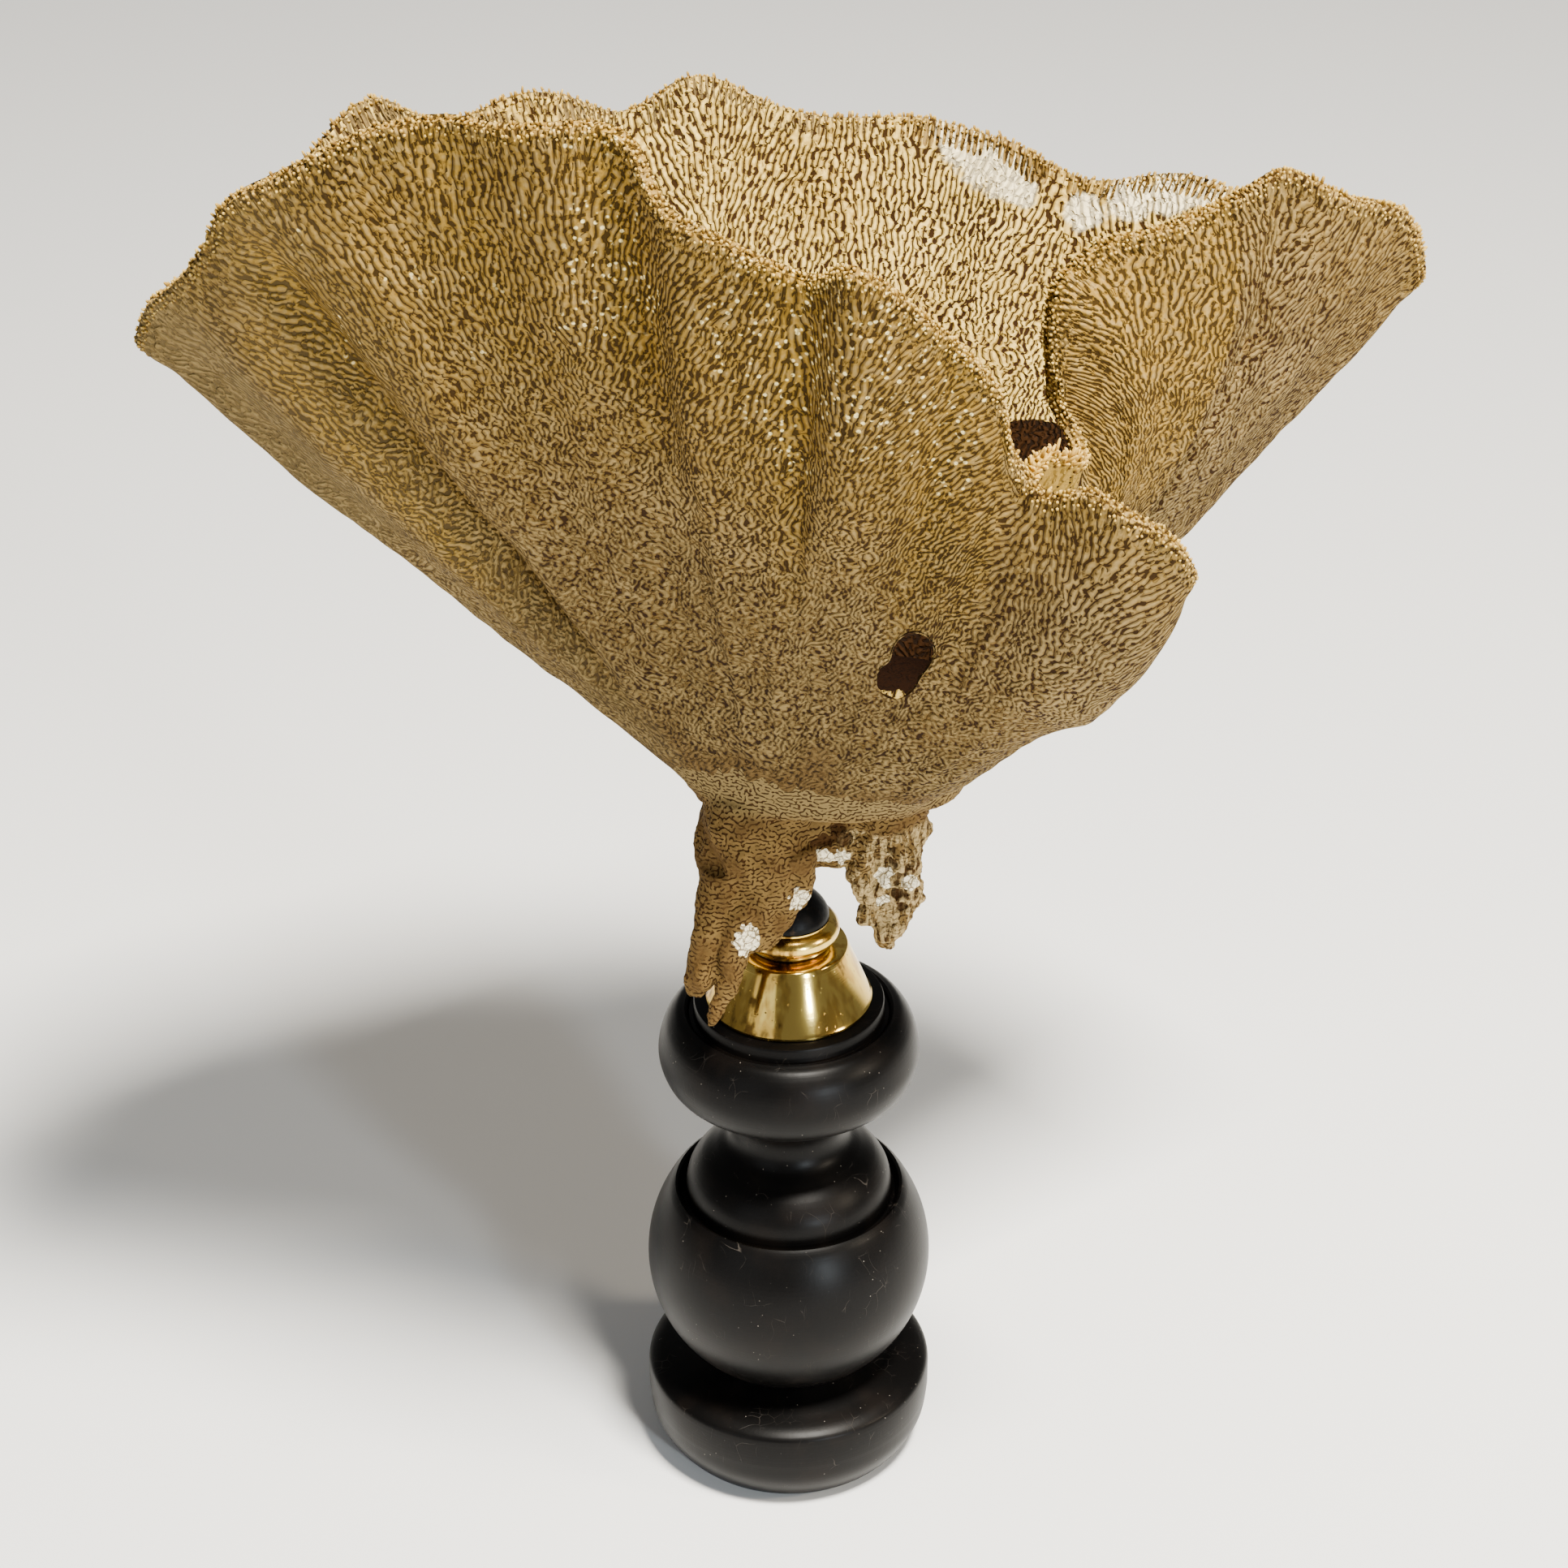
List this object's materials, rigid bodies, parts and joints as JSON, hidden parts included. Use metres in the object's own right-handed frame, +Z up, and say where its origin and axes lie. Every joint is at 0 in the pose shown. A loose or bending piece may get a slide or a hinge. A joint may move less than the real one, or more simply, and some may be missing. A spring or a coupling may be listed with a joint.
{
  "type": "dried sea sponge on a turned stand",
  "caption": "Dried funnel-shaped sea sponge with a wavy fringed rim and torn holdfast, pinned on a black turned wooden pedestal with a brass cone and bead.",
  "frame": {"origin": "centre of the pedestal's flat underside", "axes": "+Z up, the front of the sponge faces -Y, +X is to the right as seen from the front"},
  "size_m": [0.3515, 0.2308, 0.4725],
  "materials": {
    "dry_sponge": "dry and matt, a fine maze of fibrous ridges with brown grooves",
    "black_tip": "satin black",
    "tarnished_brass": "worn and spotted",
    "polished_brass": "polished, with brown tarnish at its edges",
    "ebonised_wood": "satin black stain and wax"
  },
  "bodies": {
    "root": {"sponge": "dry_sponge", "spike": "black_tip", "brass_bead": "tarnished_brass", "brass_cone": "polished_brass", "turned_pedestal": "ebonised_wood"}
  },
  "joints": []
}
